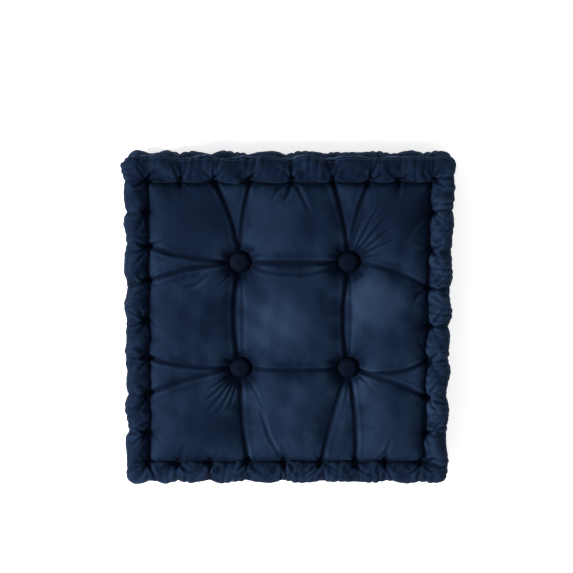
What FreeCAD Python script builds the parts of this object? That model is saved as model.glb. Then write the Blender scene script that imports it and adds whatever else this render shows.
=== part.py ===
"""Square tufted floor cushion with rolled mattress edges, in millimetres.

The cushion lies flat: the origin is the middle of its underside, +Z is up, +X is its right
side and -Y its front. It is the same above and below its middle plane, so each lower piece
is the mirror image of the upper one. Its pieces are two quilted panels, four boxing strips,
three fibre batts, the stuffing and the stitching of the rolled edges, and four tufts, each
of two covered buttons tied together by a loop of twine.
"""
import FreeCAD, Part
import math
import os

import Sketcher

DIMENSIONS = {
    # the whole cushion
    "side_length": 400,  # over the rolled edges
    "height": 80,  # over the crowns of the two panels
    "cloth": 1.5,  # velvet with its backing
    "play": 0.3,  # gap between pieces that move past each other
    # rolled edge, at the top and the bottom of each side
    "roll_radius": 13.5,
    "roll_drop": 4,  # from the crown down to the crest of the roll
    "seam_angle": 22,  # of the panel's seam, above the middle of the roll
    "flank_angle": 60,  # where the boxing leaves the roll, below its middle
    "crown_half": 150,  # half the flat part of a panel
    "groove_inset": 14.22,  # stitching, inward from the middle of the roll
    "groove_rise": 1.55,  # stitching, above the middle of the roll
    "stitch_radius": 0.6,
    # boxing between the two rolls
    "waist_half": 190,
    "waist_rise": 7,  # half the straight part of the boxing
    # filling
    "batt_half": 171.8,  # upper and lower batts, inside the rolls
    "middle_batt": 18,  # thickness
    "middle_hole": 3.2,  # for the twine
    "outer_hole": 4,  # for the eye of a button
    # tufts
    "tuft_spacing": 133,
    "tuft_shift": 7.5,  # of all four towards the back and the right, as they were tied by hand
    "pit_floor": 57,  # height of the cloth under an upper button
    "pit_radius": 14,
    "pit_mouth": 34,
    # covered button, measured from its underside
    "button_radius": 13,
    "button_rise": 9,
    "button_skirt": 3.5,
    "cap_cloth": 1,
    "shell_wall": 0.6,
    "tuck_radius": 10.5,  # inner edge of the cloth turned in under the shell
    "back_plate": 0.8,
    "eye_wire": 0.6,  # radius of the wire
    "eye_half": 1.9,
    "eye_depth": 4,  # straight part, below the underside of the button
    "twine_radius": 0.5,
    "twine_half": 1.5,
}

SIDES = {"right": 0, "back": 90, "left": 180, "front": 270}
CORNERS = {"front_left": (-1, -1), "front_right": (1, -1), "back_right": (1, 1), "back_left": (-1, 1)}

doc = FreeCAD.newDocument("floor_cushion")
sheet = doc.addObject("Spreadsheet::Sheet", "dims")
for row, (alias, number) in enumerate(DIMENSIONS.items(), start=1):
    sheet.set(f"A{row}", alias)
    sheet.set(f"B{row}", str(number))
    sheet.setAlias(f"B{row}", alias)
doc.recompute()

# heights and half widths that several pieces share, as expressions over the sheet
MIDDLE = "dims.height / 2"
ROLL_X = "(dims.side_length / 2 - dims.roll_radius)"
ROLL_Z = "(dims.height - dims.roll_drop - dims.roll_radius)"
SEAT_Z = "(dims.pit_floor + dims.play)"  # underside of an upper button
SLOPE = f"atan2(dims.height - {ROLL_Z}; {ROLL_X} - dims.roll_radius - dims.crown_half)"

pieces = []


def value(expression):
    """The number an expression over the sheet comes to."""
    found = sheet.evalExpression(expression)
    return float(getattr(found, "Value", found))


def keep(piece, node):
    """Gives a finished sub-part the name of its node."""
    piece.Label = node
    pieces.append(piece)
    return piece


def new_body(name):
    return doc.addObject("PartDesign::Body", name)


def plane(body, role):
    return next(f for f in body.Origin.OriginFeatures if f.Role == role)


def new_sketch(body, name, role="XZ_Plane", rise=None):
    """A sketch on one of the body's own planes, lifted off it by an expression if one is given."""
    sketch = body.newObject("Sketcher::SketchObject", name)
    sketch.AttachmentSupport = (plane(body, role), [""])
    sketch.MapMode = "FlatFace"
    if rise:
        sketch.setExpression(".AttachmentOffset.Base.z", rise)
    return sketch


def pin(sketch, element, point, across, up):
    """Fixes a point of a sketch at two expressions, measured from the sketch's origin."""
    for kind, axis, expression in (("DistanceX", -2, across), ("DistanceY", -1, up)):
        if expression is None:
            continue
        number = value(expression)
        if abs(number) < 1e-9:
            sketch.addConstraint(Sketcher.Constraint("PointOnObject", element, point, axis))
            continue
        index = sketch.addConstraint(Sketcher.Constraint(kind, -1, 1, element, point, number))
        sketch.setExpression(f"Constraints[{index}]", expression)


def arc_between(start, end, centre_x, clockwise):
    """An arc of a circle through two points, whose centre lies at centre_x."""
    (x0, y0), (x1, y1) = start, end
    centre_y = ((x1 - centre_x) ** 2 - (x0 - centre_x) ** 2 + y1**2 - y0**2) / (2 * (y1 - y0))
    if clockwise:
        (x0, y0), (x1, y1) = end, start
    circle = Part.Circle(
        FreeCAD.Vector(centre_x, centre_y, 0),
        FreeCAD.Vector(0, 0, 1),
        math.hypot(x0 - centre_x, y0 - centre_y),
    )
    return Part.ArcOfCircle(
        circle, math.atan2(y0 - centre_y, x0 - centre_x), math.atan2(y1 - centre_y, x1 - centre_x)
    )


def draw_outline(sketch, corners, arcs=None):
    """Draws a closed outline through corners, each a pair of expressions.

    arcs says which sides are round: {number of the side: (expression for the centre, clockwise)}.
    """
    arcs = arcs or {}
    places = [(value(x), value(y)) for x, y in corners]
    count = len(places)
    ends = []
    for i in range(count):
        start, end = places[i], places[(i + 1) % count]
        if i in arcs:
            centre, clockwise = arcs[i]
            element = sketch.addGeometry(arc_between(start, end, value(centre), clockwise))
            ends.append((element, 2, 1) if clockwise else (element, 1, 2))
        else:
            line = Part.LineSegment(FreeCAD.Vector(*start, 0), FreeCAD.Vector(*end, 0))
            element = sketch.addGeometry(line)
            ends.append((element, 1, 2))
    for i in range(count):
        element, _, last = ends[i]
        following, first, _ = ends[(i + 1) % count]
        sketch.addConstraint(Sketcher.Constraint("Coincident", element, last, following, first))
    for i in range(count):
        element, first, _ = ends[i]
        pin(sketch, element, first, *corners[i])
        if i in arcs:
            pin(sketch, element, 3, arcs[i][0], None)


def draw_circle(sketch, across, up, radius):
    circle = Part.Circle(FreeCAD.Vector(value(across), value(up), 0), FreeCAD.Vector(0, 0, 1), value(radius))
    element = sketch.addGeometry(circle)
    pin(sketch, element, 3, across, up)
    index = sketch.addConstraint(Sketcher.Constraint("Radius", element, value(radius)))
    sketch.setExpression(f"Constraints[{index}]", radius)


def draw_square(sketch, half):
    less = f"-({half})"
    corners = [(less, less), (half, less), (half, half), (less, half)]
    draw_outline(sketch, corners)


def add_pad(body, sketch, length, symmetric=False):
    feature = body.newObject("PartDesign::Pad", "pad")
    feature.Profile = sketch
    feature.setExpression("Length", length)
    if symmetric:
        feature.SideType = "Symmetric"


def add_pipe(body, profile, path, bend="Transformed"):
    feature = body.newObject("PartDesign::AdditivePipe", "pipe")
    feature.Profile = profile
    feature.Spine = path
    feature.Transition = bend


def put_at_tuft(item, corner, height=None):
    """Moves a primitive or a whole piece to the middle of a tuft, and to a height if one is given."""
    across, along = CORNERS[corner]
    item.setExpression("Placement.Base.x", f"{across} * dims.tuft_spacing / 2 + dims.tuft_shift")
    item.setExpression("Placement.Base.y", f"{along} * dims.tuft_spacing / 2 + dims.tuft_shift")
    if height:
        item.setExpression("Placement.Base.z", height)


def tuft_cones(body, kind, low, high, low_radius, high_radius):
    """Adds or cuts a cone at each tuft, between two heights."""
    for corner in CORNERS:
        cone = body.newObject(f"PartDesign::{kind}Cone", f"pit_{corner}")
        put_at_tuft(cone, corner, low)
        cone.setExpression("Height", f"{high} - {low}")
        cone.setExpression("Radius1", low_radius)
        cone.setExpression("Radius2", high_radius)


def tuft_holes(body, low, high, radius):
    """Cuts a straight hole at each tuft, between two heights."""
    for corner in CORNERS:
        hole = body.newObject("PartDesign::SubtractiveCylinder", f"hole_{corner}")
        put_at_tuft(hole, corner, low)
        hole.setExpression("Height", f"{high} - {low}")
        hole.setExpression("Radius", radius)


def mirror_below(upper, node):
    """The lower twin of an upper piece, across the middle plane of the cushion."""
    twin = doc.addObject("Part::Mirroring", node)
    twin.Source = upper
    twin.Normal = (0, 0, 1)
    twin.setExpression("Base.z", MIDDLE)
    return keep(twin, node)


def roll_point(radius, angle, sign=1):
    """A point of the upper roll's section at an angle from its outermost point."""
    return (
        f"{ROLL_X} + ({radius}) * cos({angle})",
        f"{ROLL_Z} + {sign} * ({radius}) * sin({angle})",
    )


def pit_outside(body, kind):
    """Adds or cuts at each tuft the cone that the outside of its pit's wall lies on."""
    run = value("dims.pit_mouth - dims.pit_radius")
    rise = value("dims.height - dims.pit_floor")
    wider = f"dims.cloth * {math.hypot(run, rise) / rise}"
    narrower = f"dims.cloth * {run / rise}"
    tuft_cones(
        body,
        kind,
        "(dims.pit_floor - dims.cloth)",
        "dims.height",
        f"dims.pit_radius - {narrower} + {wider}",
        f"dims.pit_mouth + {wider}",
    )


def make_panel():
    """Upper panel: a crowned square whose margin wraps the inner and upper part of the roll."""
    body = new_body("top_panel")
    path = new_sketch(body, "roll_path", "XY_Plane", ROLL_Z)
    draw_square(path, ROLL_X)
    rim = new_sketch(body, "rim_section")
    inner = "(dims.roll_radius - dims.cloth)"
    angle = "(dims.seam_angle * 1deg)"
    valley = f"{ROLL_X} - dims.roll_radius"
    corners = [
        ("dims.crown_half", "dims.height - dims.cloth"),
        (
            f"{valley} - dims.cloth * sin({SLOPE})",
            f"{ROLL_Z} - dims.cloth * cos({SLOPE})",
        ),
        (f"{valley} + dims.cloth", f"{ROLL_Z} - dims.cloth"),
        (f"{valley} + dims.cloth", ROLL_Z),
        roll_point(inner, angle),
        roll_point("dims.roll_radius", angle),
        (valley, ROLL_Z),
        ("dims.crown_half", "dims.height"),
    ]
    draw_outline(rim, corners, {3: (ROLL_X, True), 5: (ROLL_X, False)})
    add_pipe(body, rim, path, "Right corner")
    crown = new_sketch(body, "crown_outline", "XY_Plane", "dims.height - dims.cloth")
    draw_square(crown, "dims.crown_half")
    add_pad(body, crown, "dims.cloth")
    pit_outside(body, "Additive")
    tuft_cones(body, "Subtractive", "dims.pit_floor", "dims.height", "dims.pit_radius", "dims.pit_mouth")
    tuft_holes(body, "(dims.pit_floor - 2 * dims.cloth)", "dims.height", "dims.outer_hole")
    return keep(body, "top_panel")


def mitre(body):
    """Cuts both ends of a side piece at 45 degrees, so that four of them close at the corners."""
    outline = new_sketch(body, "mitre_outline", "XY_Plane")
    near, far = "dims.side_length / 4", "dims.side_length"
    draw_outline(outline, [(near, near), (far, far), (near, far)])
    draw_outline(outline, [(near, f"-{near}"), (near, f"-{far}"), (far, f"-{far}")])
    cut = body.newObject("PartDesign::Pocket", "mitre")
    cut.Profile = outline
    cut.Type = "ThroughAll"
    cut.SideType = "Symmetric"


def side_piece(name, turn, draw):
    """A straight piece along one side of the cushion, with mitred ends."""
    body = new_body(name)
    section = new_sketch(body, "section")
    draw(section)
    add_pad(body, section, "dims.side_length", symmetric=True)
    mitre(body)
    body.Placement.Rotation = FreeCAD.Rotation(FreeCAD.Vector(0, 0, 1), turn)
    return body


def draw_boxing(section):
    """Boxing strip: outer half of both rolls, with a straight waist between them."""
    seam, flank = "(dims.seam_angle * 1deg)", "(dims.flank_angle * 1deg)"
    corners = []
    for radius, waist in (("dims.roll_radius", "dims.waist_half"), ("dims.roll_radius - dims.cloth", None)):
        waist = waist or "dims.waist_half - dims.cloth"
        upper = [
            roll_point(radius, seam),
            roll_point(radius, flank, -1),
            (waist, f"{MIDDLE} + dims.waist_rise"),
        ]
        lower = [(x, f"dims.height - ({z})") for x, z in reversed(upper)]
        run = upper + lower
        corners += run if not corners else run[::-1]
    arcs = {0: (ROLL_X, True), 4: (ROLL_X, True), 6: (ROLL_X, False), 10: (ROLL_X, False)}
    draw_outline(section, corners, arcs)


def draw_stuffing(section):
    draw_circle(section, ROLL_X, ROLL_Z, "dims.roll_radius - dims.cloth - dims.play")


def draw_stitching(section):
    draw_circle(
        section, f"{ROLL_X} - dims.groove_inset", f"{ROLL_Z} + dims.groove_rise", "dims.stitch_radius"
    )


def make_upper_batt():
    """Upper fibre batt: fills the panel from its crown down to the middle batt."""
    body = new_body("upper_batt")
    low = f"({MIDDLE} + dims.middle_batt / 2 + dims.play)"
    high = "(dims.height - dims.cloth)"
    # where the sloping cloth of the panel meets the straight side of the batt
    slope = f"(dims.height - {ROLL_Z}) / ({ROLL_X} - dims.roll_radius - dims.crown_half)"
    shoulder = f"({high} - (dims.batt_half - dims.crown_half) * {slope} - 2 * dims.play)"
    base = new_sketch(body, "base_outline", "XY_Plane", low)
    draw_square(base, "dims.batt_half")
    add_pad(body, base, f"{shoulder} - {low}")
    lower_end = new_sketch(body, "shoulder_outline", "XY_Plane", shoulder)
    draw_square(lower_end, "dims.batt_half")
    upper_end = new_sketch(body, "crown_outline", "XY_Plane", high)
    draw_square(upper_end, "dims.crown_half - dims.cloth")
    loft = body.newObject("PartDesign::AdditiveLoft", "crown")
    loft.Profile = lower_end
    loft.Sections = [upper_end]
    pit_outside(body, "Subtractive")
    tuft_holes(body, f"({low} - dims.cloth)", "dims.height", "dims.outer_hole")
    return keep(body, "filling_batt_upper")


def make_middle_batt():
    """Middle fibre batt: reaches out to the boxing, between the rolls."""
    body = new_body("middle_batt")
    low = f"({MIDDLE} - dims.middle_batt / 2)"
    outline = new_sketch(body, "outline", "XY_Plane", low)
    draw_square(outline, "(dims.waist_half - dims.cloth - dims.play)")
    add_pad(body, outline, "dims.middle_batt")
    tuft_holes(body, low, f"({low} + dims.middle_batt)", "dims.middle_hole")
    return keep(body, "filling_batt_middle")


def turned_piece(name, corners, arcs, corner):
    """A round piece of an upper button, turned about the middle of its tuft."""
    body = new_body(name)
    section = new_sketch(body, "section")
    draw_outline(section, corners, arcs)
    feature = body.newObject("PartDesign::Revolution", "turn")
    feature.Profile = section
    feature.ReferenceAxis = (section, ["V_Axis"])
    feature.Angle = 360
    put_at_tuft(body, corner, SEAT_Z)
    return body


def make_button_cover(name, corner):
    """Velvet cap: domed over the shell, with its edge tucked in under the shell's rim."""
    inner = "(dims.button_radius - dims.cap_cloth)"
    corners = [
        ("0", "dims.button_rise - dims.cap_cloth"),
        ("0", "dims.button_rise"),
        ("dims.button_radius", "dims.button_skirt"),
        ("dims.button_radius", "0"),
        ("dims.tuck_radius", "0"),
        ("dims.tuck_radius", "dims.cap_cloth"),
        (inner, "dims.cap_cloth"),
        (inner, "dims.button_skirt - dims.play"),
    ]
    return turned_piece(name, corners, {1: ("0", True), 7: ("0", False)}, corner)


def make_button_shell(name, corner):
    """Pressed metal shell that gives the button its dome."""
    outer = "(dims.button_radius - dims.cap_cloth)"
    inner = f"({outer} - dims.shell_wall)"
    corners = [
        ("0", "dims.button_rise - dims.cap_cloth - dims.shell_wall"),
        ("0", "dims.button_rise - dims.cap_cloth"),
        (outer, "dims.button_skirt - dims.play"),
        (outer, "dims.cap_cloth"),
        (inner, "dims.cap_cloth"),
        (inner, "dims.button_skirt - 2 * dims.play"),
    ]
    return turned_piece(name, corners, {1: ("0", True), 5: ("0", False)}, corner)


def make_button_back(name, corner):
    """Back plate, pressed in on the tucked cloth, with the wire eye that the twine runs through."""
    body = new_body(name)
    radius = "dims.button_radius - dims.cap_cloth - dims.shell_wall - dims.play / 3"
    plate = new_sketch(body, "plate_outline", "XY_Plane", "dims.cap_cloth")
    draw_circle(plate, "0", "0", radius)
    add_pad(body, plate, "dims.back_plate")
    wire = new_sketch(body, "wire_section", "XY_Plane", "dims.cap_cloth + dims.back_plate / 2")
    draw_circle(wire, "dims.eye_half", "0", "dims.eye_wire")
    path = new_sketch(body, "eye_path")
    top, bend = "dims.cap_cloth + dims.back_plate / 2", "-dims.eye_depth"
    draw_u(path, "dims.eye_half", top, bend)
    add_pipe(body, wire, path)
    put_at_tuft(body, corner, SEAT_Z)
    return body


def draw_u(sketch, half, top, bend):
    """An open U: down one leg, round a half circle and up the other."""
    x, high, low = value(half), value(top), value(bend)
    up = FreeCAD.Vector(0, 0, 1)
    leg = sketch.addGeometry(Part.LineSegment(FreeCAD.Vector(x, high, 0), FreeCAD.Vector(x, low, 0)))
    bottom = sketch.addGeometry(
        Part.ArcOfCircle(Part.Circle(FreeCAD.Vector(0, low, 0), up, x), math.pi, 2 * math.pi)
    )
    other = sketch.addGeometry(Part.LineSegment(FreeCAD.Vector(-x, low, 0), FreeCAD.Vector(-x, high, 0)))
    sketch.addConstraint(Sketcher.Constraint("Tangent", leg, 2, bottom, 2))
    sketch.addConstraint(Sketcher.Constraint("Tangent", bottom, 1, other, 1))
    pin(sketch, leg, 1, half, top)
    pin(sketch, leg, 2, half, bend)
    pin(sketch, other, 2, f"-({half})", top)
    sketch.addConstraint(Sketcher.Constraint("PointOnObject", bottom, 3, -2))


def make_twine(name, corner):
    """Loop of twine round the two eyes of a tuft, drawn tight between them."""
    loop = doc.addObject("Part::Feature", name)
    half, radius = value("dims.twine_half"), value("dims.twine_radius")
    high = value(f"{SEAT_Z} - dims.eye_depth - dims.eye_half")
    low = value("dims.height") - high
    corners = [FreeCAD.Vector(0, half, low), FreeCAD.Vector(0, half, high)]
    corners += [FreeCAD.Vector(0, -half, high), FreeCAD.Vector(0, -half, low)]
    path = Part.Wire(
        [
            Part.LineSegment(corners[0], corners[1]).toShape(),
            Part.Arc(corners[1], FreeCAD.Vector(0, 0, high + half), corners[2]).toShape(),
            Part.LineSegment(corners[2], corners[3]).toShape(),
            Part.Arc(corners[3], FreeCAD.Vector(0, 0, low - half), corners[0]).toShape(),
        ]
    )
    section = Part.Wire(Part.Circle(corners[0], FreeCAD.Vector(0, 0, 1), radius).toShape())
    loop.Shape = path.makePipeShell([section], True, True)
    put_at_tuft(loop, corner)
    length = 2 * (high - low) + 2 * math.pi * half
    print(name, "volume over section times length:", loop.Shape.Volume / (math.pi * radius**2 * length))
    return keep(loop, name)


mirror_below(make_panel(), "bottom_panel")
mirror_below(make_upper_batt(), "filling_batt_lower")
make_middle_batt()
for side, turn in SIDES.items():
    keep(side_piece(f"boxing_{side}", turn, draw_boxing), f"boxing_{side}")
    for part_name, draw in (("edge_stuffing", draw_stuffing), ("edge_stitching", draw_stitching)):
        upper = side_piece(f"{part_name}_{side}", turn, draw)
        keep(upper, f"{part_name}_top_{side}")
        mirror_below(upper, f"{part_name}_bottom_{side}")
for corner in CORNERS:
    for part_name, make in (
        ("button_cover", make_button_cover),
        ("button_shell", make_button_shell),
        ("button_back", make_button_back),
    ):
        upper = keep(make(f"{part_name}_{corner}", corner), f"{part_name}_top_{corner}")
        mirror_below(upper, f"{part_name}_bottom_{corner}")
    make_twine(f"tuft_twine_{corner}", corner)
doc.recompute()

for item in doc.Objects:
    if "Invalid" in item.State or "Error" in item.State:
        raise RuntimeError(f"{item.Label} failed: {item.State}")
os.makedirs("parts", exist_ok=True)
for piece in pieces:
    shape = piece.Shape
    if shape.isNull() or not shape.isValid() or not shape.Solids:
        raise RuntimeError(f"{piece.Label} has no valid solid")
    shape.exportStep(f"parts/{piece.Label}.step")
    print(f"{piece.Label:36s} {len(shape.Solids)} solid(s) {shape.Volume / 1000:10.3f} cm3")
print(len(pieces), "nodes")
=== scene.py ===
"""Looks of the square tufted velvet cushion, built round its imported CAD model, in metres.

The velvet cover is simulated once, as the half from the top panel down to mid height: it
starts from a shaped grid, is tied down at the tufts and along the mattress stitching, and
is blown up by the filling. A copy turned over about the X axis makes the lower half.
"""

import math

import bmesh
import bpy
import numpy as np
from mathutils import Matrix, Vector
from mathutils.bvhtree import BVHTree


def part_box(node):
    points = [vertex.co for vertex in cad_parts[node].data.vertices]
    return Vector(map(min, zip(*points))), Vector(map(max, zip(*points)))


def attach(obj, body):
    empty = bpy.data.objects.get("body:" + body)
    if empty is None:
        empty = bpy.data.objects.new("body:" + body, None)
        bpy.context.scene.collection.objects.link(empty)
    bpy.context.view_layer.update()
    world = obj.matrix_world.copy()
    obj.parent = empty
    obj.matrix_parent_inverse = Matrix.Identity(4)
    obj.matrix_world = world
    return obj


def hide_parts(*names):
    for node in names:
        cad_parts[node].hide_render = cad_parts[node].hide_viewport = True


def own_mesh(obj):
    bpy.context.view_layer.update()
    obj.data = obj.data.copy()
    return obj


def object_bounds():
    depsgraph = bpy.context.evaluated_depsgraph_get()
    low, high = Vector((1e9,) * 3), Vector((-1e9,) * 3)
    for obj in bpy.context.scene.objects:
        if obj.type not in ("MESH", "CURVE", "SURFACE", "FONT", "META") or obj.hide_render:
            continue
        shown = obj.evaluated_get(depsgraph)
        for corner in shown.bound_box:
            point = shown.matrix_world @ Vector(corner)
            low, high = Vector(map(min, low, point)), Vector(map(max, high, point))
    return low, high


MM = 0.001
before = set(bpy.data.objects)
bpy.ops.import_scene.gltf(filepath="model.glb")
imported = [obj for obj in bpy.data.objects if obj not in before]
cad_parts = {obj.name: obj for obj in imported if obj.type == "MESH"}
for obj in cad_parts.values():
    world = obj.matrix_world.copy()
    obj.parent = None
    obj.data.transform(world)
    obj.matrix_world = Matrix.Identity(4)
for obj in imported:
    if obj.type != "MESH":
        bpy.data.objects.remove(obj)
cad_low, cad_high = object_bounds()
scene = bpy.context.scene

# ---- sizes, from the frame
def middle_of(node):
    """The middle of a CAD node's box."""
    return [(low + high) / 2 for low, high in zip(*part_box(node))]


HALF_SIDE = cad_high.x
HEIGHT = cad_high.z
MIDDLE_Z = HEIGHT / 2
ROLL_X, _, ROLL_Z = middle_of("edge_stuffing_top_right")
ROLL_RADIUS = HALF_SIDE - ROLL_X
GROOVE_X, _, GROOVE_Z = middle_of("edge_stitching_top_right")
SEAM_ANGLE = math.asin((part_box("boxing_right")[1].z - ROLL_Z) / ROLL_RADIUS)
TUCK_ANGLE = -math.radians(64)
WAIST_X = HALF_SIDE - 10 * MM
CORNERS = ("front_left", "front_right", "back_right", "back_left")
SIDES = ("right", "back", "left", "front")
TUFTS = {corner: middle_of(f"button_cover_top_{corner}")[:2] for corner in CORNERS}
cap_low, cap_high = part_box("button_cover_top_back_left")
BUTTON_RADIUS = (cap_high.x - cap_low.x) / 2
PIT_Z = cap_low.z - 0.3 * MM
PIT_RADIUS = 13.5 * MM
LINING_GAP = 1.8 * MM

# what moves with the seat, and what stays with the base
BODIES = {"top": "seat", "bottom": "base"}
# which side of the upper half lies at each side once it is turned over
TURNED_SIDE = {"right": "right", "left": "left", "back": "front", "front": "back"}

# rings of the simulated grid, counted outward from the middle of the panel
PANEL_RINGS, ROLL_RINGS, FLANK_RINGS, WAIST_RINGS = 57, 12, 7, 4
SEAM_RING = PANEL_RINGS + ROLL_RINGS
TUCK_RING = SEAM_RING + FLANK_RINGS
LAST_RING = TUCK_RING + WAIST_RINGS
CROWN_Z = HEIGHT - 4 * MM

# places of the ties along each side, from its left or front end, in mm from its middle
TIES = {
    "back": (-172, -132, -91, -47, 4, 52, 96, 134, 173),
    "front": (-172, -135, -95, -48, -4, 43, 85, 122, 168),
    "left": (-172, -136, -90, -45, 2, 51, 94, 135, 173),
    "right": (-172, -137, -94, -49, -5, 42, 89, 135, 173),
}

# Creases that run from a tuft to another one, or to a tie: how far the middle bows to the
# left of the way there, and how deep and how wide the fold is, all in mm.
CREASES = (
    ("back_left", ("back", 2), -7, 3.6, 1.9),
    ("back_left", ("back", 3), 3, 3.0, 1.7),
    ("back_left", ("left", 6), 3, 3.2, 1.8),
    ("back_left", ("left", 5), -6, 3.0, 1.8),
    ("back_left", "back_right", 1, 3.6, 1.9),
    ("back_left", "back_right", -13, 1.5, 2.2),
    ("front_left", "back_left", 7, 4.2, 2.0),
    ("front_left", "back_left", -3, 1.4, 1.8),
    ("front_right", "back_right", 6, 4.2, 2.0),
    ("front_right", "back_right", -2, 1.5, 1.8),
    ("front_left", "front_right", 0, 2.6, 1.6),
    ("back_right", ("back", 5), -4, 3.8, 1.9),
    ("back_right", ("back", 6), 4, 2.4, 2.0),
    ("back_right", ("right", 5), 8, 2.6, 1.6),
    ("front_left", ("left", 3), 3, 3.2, 1.8),
    ("front_left", ("left", 2), -6, 2.8, 1.8),
    ("front_left", ("front", 3), -3, 3.8, 1.9),
    ("front_right", ("right", 3), -9, 3.4, 1.8),
    ("front_right", ("right", 2), 4, 3.0, 1.8),
    ("front_right", ("front", 5), -3, 2.8, 1.8),
    ("front_right", ("front", 6), 4, 3.4, 1.8),
)
# The deep ones divide the panel, and are held down while it is blown up.
DIVIDERS = tuple(crease for crease in CREASES if crease[3] >= 2.4)

# Short folds that fan out from a tuft: direction in degrees, length and depth in mm.
FANS = {
    "back_right": ((74, 78, 2.0), (63, 84, 2.8), (52, 82, 2.9), (41, 76, 2.4), (29, 66, 2.0), (14, 44, 1.4)),
    "front_left": ((206, 50, 1.8), (217, 62, 2.4), (228, 66, 2.5), (239, 60, 2.2), (250, 54, 1.8), (300, 60, 1.2)),
    "back_left": ((183, 46, 1.6), (172, 40, 1.4), (98, 46, 1.3), (320, 36, 1.0), (222, 40, 1.0)),
    "front_right": ((276, 64, 1.8), (262, 48, 1.3), (338, 52, 1.5), (150, 34, 1.0), (318, 40, 1.2)),
}

# Folds that reach no tuft: their points in mm, and their depth.
LOOSE_FOLDS = (
    (((-34, -108), (-24, -138), (-4, -172)), 2.0),
    (((3, 171), (-1, 160), (-8, 150)), 1.8),
    (((7, 171), (14, 158), (26, 134)), 2.0),
    (((-1, 171), (-14, 164), (-24, 150)), 1.2),
    (((-96, 70), (-118, 68), (-140, 72)), 1.1),
    (((-97, 62), (-112, 50), (-128, 46)), 1.2),
    (((-158, 94), (-142, 84), (-128, 82)), 1.2),
    (((172, 42), (158, 36), (150, 22)), 1.3),
    (((172, -42), (162, -28), (158, -12)), 1.3),
    (((110, -172), (122, -156), (128, -138)), 1.2),
    (((165, 132), (150, 118), (140, 100)), 1.1),
)

# Patches of painted highlight and painted shade on the panel: place and radius in mm, and how much.
PAINTED_PATCHES = (
    (-8, 4, 36, 1.7), (50, 14, 24, -0.4), (98, 26, 34, 1.9), (164, -4, 26, -0.3),
    (-140, 2, 30, -0.2), (-97, 4, 26, -0.5), (-156, 24, 24, -0.4),
    (96, -132, 36, 0.8), (-8, -112, 40, 0.65), (60, -150, 20, -0.4), (150, -60, 24, 0.3),
    (-140, -130, 34, -0.3), (-95, -130, 28, -0.9),
    (-120, 134, 48, -0.9), (-160, 160, 28, -0.4), (-18, 124, 32, 0.3), (36, 134, 26, -0.6),
    (105, 128, 34, -0.4), (150, 138, 34, -1.2), (92, -72, 22, 0.7), (-150, -40, 26, -0.4),
)
# Painted highlight and shade on each side's rolls: how much above the seam, and on the flank below it.
ROLL_PAINTED_SHADING = {"right": (-0.4, 0.1), "back": (-1.3, 1.6), "left": (-1.2, -0.1), "front": (-0.7, 0.1)}
# The way from each side's ties into the panel, in degrees.
INWARD = {"back": 270, "front": 90, "left": 0, "right": 180}


def tie_point(side, index):
    """A tie on the stitched groove, as a point of the plane."""
    along = TIES[side][index] * MM
    out = GROOVE_X if side in ("right", "back") else -GROOVE_X
    return (out, along) if side in ("right", "left") else (along, out)


def bell(share):
    """1 at 0, and falls off on both sides."""
    return np.exp(-(share**2))


# ---- the cover's grid
def resample(points, count):
    """count + 1 points evenly spaced along a polyline."""
    points = np.asarray(points, float)
    run = np.concatenate([[0], np.cumsum(np.linalg.norm(np.diff(points, axis=0), axis=1))])
    places = np.linspace(0, run[-1], count + 1)
    return np.column_stack([np.interp(places, run, points[:, i]) for i in range(points.shape[1])])


def roll_arc(start, end, count):
    """Points round the upper roll's section, between two angles from the outward direction."""
    angles = np.linspace(start, end, 60)
    around = np.column_stack([np.cos(angles), np.sin(angles)])
    return resample([ROLL_X, ROLL_Z] + ROLL_RADIUS * around, count)


def cross_section():
    """Half width and height of every ring, from the middle of the panel to mid height."""
    reach = 36 * MM
    across = np.linspace(0, GROOVE_X, 400)
    slope = np.clip((across - GROOVE_X + reach) / reach, 0, 1)
    rise = GROOVE_Z + (CROWN_Z - GROOVE_Z) * np.sqrt(1 - slope**3)
    panel = resample(np.column_stack([across, rise]), PANEL_RINGS)
    inner = math.atan2(GROOVE_Z - ROLL_Z, GROOVE_X - ROLL_X)
    roll = roll_arc(inner, SEAM_ANGLE, ROLL_RINGS)
    flank = roll_arc(SEAM_ANGLE, TUCK_ANGLE, FLANK_RINGS)
    waist = resample([flank[-1], (WAIST_X, MIDDLE_Z)], WAIST_RINGS)
    return np.vstack([panel, roll[1:], flank[1:], waist[1:]])


def rounded(u, v, half, radius):
    """The point of a square ring in direction (u, v), with the ring's corners rounded."""
    x, y = u * half, v * half
    straight = half - radius
    near = (np.abs(x) > straight) & (np.abs(y) > straight) & (radius > 0)
    share = (np.abs(x) - np.abs(y)) / np.maximum(radius, 1e-9)
    angle = math.pi / 4 * (1 - np.clip(share, -1, 1))
    bent_x = np.sign(x) * (straight + radius * np.cos(angle))
    bent_y = np.sign(y) * (straight + radius * np.sin(angle))
    return np.where(near, bent_x, x), np.where(near, bent_y, y)


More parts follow.
